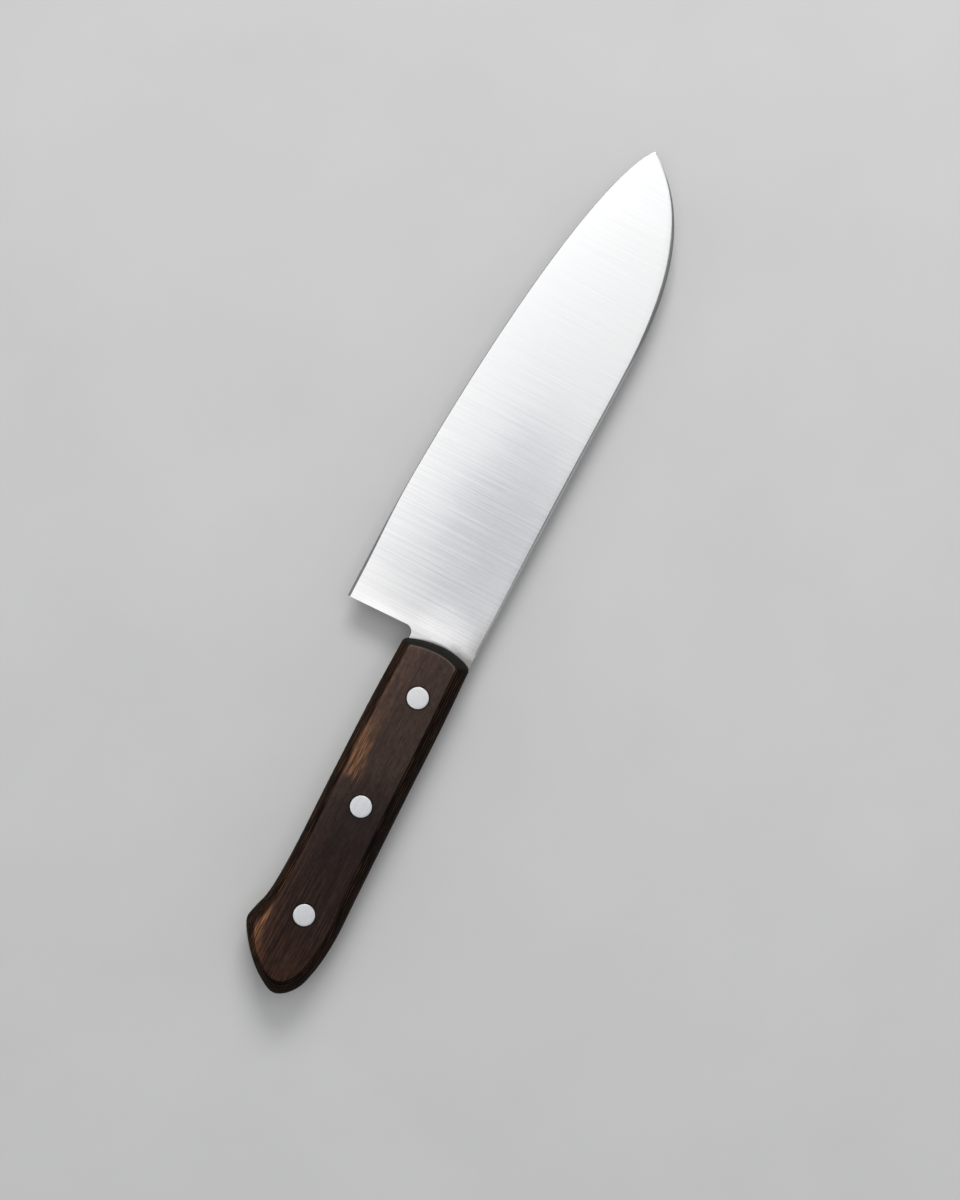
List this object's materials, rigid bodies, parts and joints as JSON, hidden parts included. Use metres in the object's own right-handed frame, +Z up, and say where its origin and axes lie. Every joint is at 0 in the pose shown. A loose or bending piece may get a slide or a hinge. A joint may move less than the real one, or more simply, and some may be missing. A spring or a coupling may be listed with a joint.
{
  "type": "santoku kitchen knife",
  "caption": "Full-tang santoku kitchen knife: dropped-nose steel blade with a right-angled heel, laminated wood scales with bevelled edges, flush two-part rivets.",
  "frame": {"origin": "on the surface that the knife lies on, under the middle of its bounding box", "axes": "+X along the knife from the butt to the tip, +Y from the spine towards the cutting edge, +Z up through the thickness, out of the left scale's flat face"},
  "size_m": [0.2922, 0.0473, 0.018],
  "materials": {
    "blade_steel": "satin, brushed across the blade from spine to edge",
    "handle_wood": "dark brown resin-bonded wood laminate, thin plies parallel to the steel, smooth satin",
    "rivet_metal": "fine satin, ground flush with the wood"
  },
  "bodies": {
    "root": {"blade": "blade_steel", "scale_left": "handle_wood", "scale_right": "handle_wood", "front_rivet_socket": "rivet_metal", "front_rivet_pin": "rivet_metal", "middle_rivet_socket": "rivet_metal", "middle_rivet_pin": "rivet_metal", "rear_rivet_socket": "rivet_metal", "rear_rivet_pin": "rivet_metal"}
  },
  "joints": []
}
